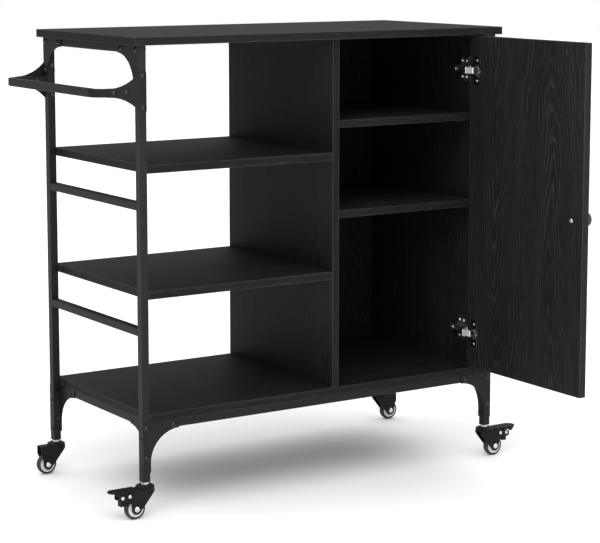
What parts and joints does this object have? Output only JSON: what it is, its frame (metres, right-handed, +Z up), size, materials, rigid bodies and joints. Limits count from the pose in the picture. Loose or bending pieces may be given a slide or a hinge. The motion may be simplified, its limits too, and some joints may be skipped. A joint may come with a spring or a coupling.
{
  "type": "kitchen island cart",
  "caption": "Wheeled kitchen island cart: square-tube steel frame, wood-grain worktop, open side shelves, a cabinet with one hinged door and a side push handle.",
  "frame": {"origin": "on the floor under the middle of the cart's extents, with the door open at a right angle", "axes": "+X along the cart's length from the handle end to the cabinet end, -Y towards the front, +Z up"},
  "size_m": [0.9664, 0.7336, 0.885],
  "materials": {
    "black_steel": "matt black powder coat",
    "black_oak": "charcoal wood-grain laminate, satin",
    "bright_metal": "bright nickel plate",
    "rubber": "matt black rubber",
    "white_plastic": "white moulded plastic",
    "black_plastic": "satin black moulded plastic"
  },
  "bodies": {
    "frame": {"post_front_left": "black_steel", "post_rear_left": "black_steel", "post_front_right": "black_steel", "post_rear_right": "black_steel", "rail_top_left": "black_steel", "rail_top_right": "black_steel", "rail_top_rear": "black_steel", "rail_bottom_front": "black_steel", "rail_bottom_rear": "black_steel", "rail_bottom_left": "black_steel", "rail_bottom_right": "black_steel", "side_bar_upper": "black_steel", "side_bar_lower": "black_steel", "gussets_top": "black_steel", "gussets_foot_front_left": "black_steel", "gussets_foot_rear_left": "black_steel", "gussets_foot_front_right": "black_steel", "gussets_foot_rear_right": "black_steel", "gussets_handle": "black_steel", "frame_bolts": "black_steel", "worktop": "black_oak", "bottom_panel": "black_oak", "divider": "black_oak", "side_panel": "black_oak", "back_panel": "black_oak", "shelf_left_upper": "black_oak", "shelf_left_lower": "black_oak", "shelf_right_upper": "black_oak", "shelf_right_lower": "black_oak", "shelf_brackets": "black_steel", "shelf_pins": "bright_metal", "handle": "black_steel", "hinge_plates": "bright_metal", "caster_stems": "bright_metal"},
    "door": {"door": "black_oak", "knob": "black_plastic", "knob_screw": "bright_metal", "hinge_cups": "bright_metal"},
    "link_upper": {"hinge_link_upper": "bright_metal"},
    "link_lower": {"hinge_link_lower": "bright_metal"},
    "caster_front_left": {"fork_front_left": "black_steel", "axle_front_left": "bright_metal", "rivets_front_left": "bright_metal"},
    "wheel_front_left": {"hub_front_left": "white_plastic", "tyre_front_left": "rubber"},
    "caster_front_right": {"fork_front_right": "black_steel", "axle_front_right": "bright_metal", "rivets_front_right": "bright_metal"},
    "wheel_front_right": {"hub_front_right": "white_plastic", "tyre_front_right": "rubber"},
    "caster_rear_left": {"fork_rear_left": "black_steel", "axle_rear_left": "bright_metal"},
    "wheel_rear_left": {"hub_rear_left": "white_plastic", "tyre_rear_left": "rubber"},
    "caster_rear_right": {"fork_rear_right": "black_steel", "axle_rear_right": "bright_metal"},
    "wheel_rear_right": {"hub_rear_right": "white_plastic", "tyre_rear_right": "rubber"},
    "pedal_front_left": {"brake_front_left": "black_steel"},
    "pedal_front_right": {"brake_front_right": "black_steel"}
  },
  "joints": [
    {"name": "door_hinge", "type": "hinge", "parent": "frame", "child": "door", "pos_m": [0.37625, -0.03025, 0.532], "axis": [0, 0, 1], "range_deg": [-90, 5]},
    {"name": "link_upper_turn", "type": "hinge", "parent": "frame", "child": "link_upper", "pos_m": [0.37475, -0.00225, 0.799], "axis": [0, 0, 1], "range_deg": [-46, 3]},
    {"name": "link_lower_turn", "type": "hinge", "parent": "frame", "child": "link_lower", "pos_m": [0.37475, -0.00225, 0.265], "axis": [0, 0, 1], "range_deg": [-46, 3]},
    {"name": "swivel_front_left", "type": "hinge", "parent": "frame", "child": "caster_front_left", "pos_m": [-0.38775, -0.02275, 0.058], "axis": [0, 0, 1], "continuous": true},
    {"name": "spin_front_left", "type": "hinge", "parent": "caster_front_left", "child": "wheel_front_left", "pos_m": [-0.40975, -0.02275, 0.02], "axis": [0, 1, 0], "continuous": true},
    {"name": "swivel_front_right", "type": "hinge", "parent": "frame", "child": "caster_front_right", "pos_m": [0.40725, -0.02275, 0.058], "axis": [0, 0, 1], "continuous": true},
    {"name": "spin_front_right", "type": "hinge", "parent": "caster_front_right", "child": "wheel_front_right", "pos_m": [0.42925, -0.02275, 0.02], "axis": [0, 1, 0], "continuous": true},
    {"name": "swivel_rear_left", "type": "hinge", "parent": "frame", "child": "caster_rear_left", "pos_m": [-0.38775, 0.34825, 0.058], "axis": [0, 0, 1], "continuous": true},
    {"name": "spin_rear_left", "type": "hinge", "parent": "caster_rear_left", "child": "wheel_rear_left", "pos_m": [-0.40975, 0.34825, 0.02], "axis": [0, 1, 0], "continuous": true},
    {"name": "swivel_rear_right", "type": "hinge", "parent": "frame", "child": "caster_rear_right", "pos_m": [0.40725, 0.34825, 0.058], "axis": [0, 0, 1], "continuous": true},
    {"name": "spin_rear_right", "type": "hinge", "parent": "caster_rear_right", "child": "wheel_rear_right", "pos_m": [0.42925, 0.34825, 0.02], "axis": [0, 1, 0], "continuous": true},
    {"name": "pedal_left_press", "type": "hinge", "parent": "caster_front_left", "child": "pedal_front_left", "pos_m": [-0.42375, -0.02275, 0.046], "axis": [0, 1, 0], "range_deg": [-8, 0]},
    {"name": "pedal_right_press", "type": "hinge", "parent": "caster_front_right", "child": "pedal_front_right", "pos_m": [0.44325, -0.02275, 0.046], "axis": [0, 1, 0], "range_deg": [0, 8]}
  ],
  "couplings": [
    {"joint": "link_upper_turn", "follows": "door_hinge", "ratio": 0.5},
    {"joint": "link_lower_turn", "follows": "door_hinge", "ratio": 0.5}
  ]
}
